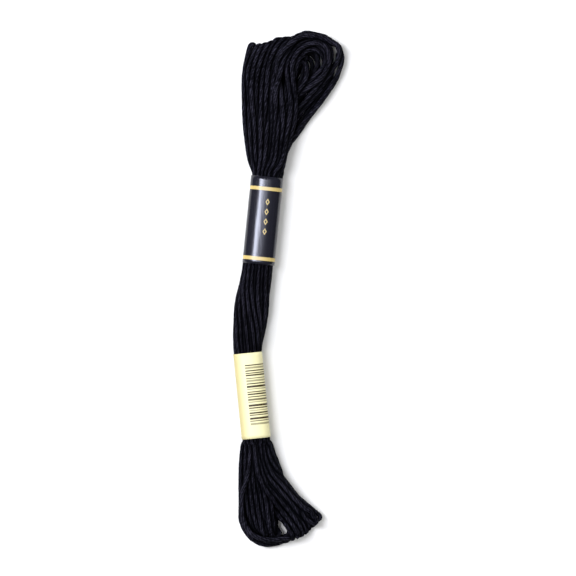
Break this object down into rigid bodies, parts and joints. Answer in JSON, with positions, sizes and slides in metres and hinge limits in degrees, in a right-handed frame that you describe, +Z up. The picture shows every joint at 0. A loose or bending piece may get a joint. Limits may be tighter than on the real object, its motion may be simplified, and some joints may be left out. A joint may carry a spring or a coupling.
{
  "type": "hank of embroidery floss",
  "caption": "Hank of dark cotton embroidery floss, wound as a long flat ring whose loops fan out at both ends, held by paper bands.",
  "frame": {"origin": "on the surface that the hank lies on, under the middle of its outline", "axes": "+Z up off the surface, +Y along the hank towards the end with the wider fan, +X across it to the right of that"},
  "size_m": [0.0358, 0.1678, 0.0073],
  "materials": {
    "floss": "soft mercerised six-strand cotton, near-black with a blue cast",
    "black_paper": "glossy coated black paper with two gold lines",
    "cream_paper": "coated cream paper with a printed block of plain bars"
  },
  "bodies": {
    "root": {"Floss_Hank": "floss", "Upper_Band": "black_paper", "Lower_Band": "cream_paper"}
  },
  "joints": []
}
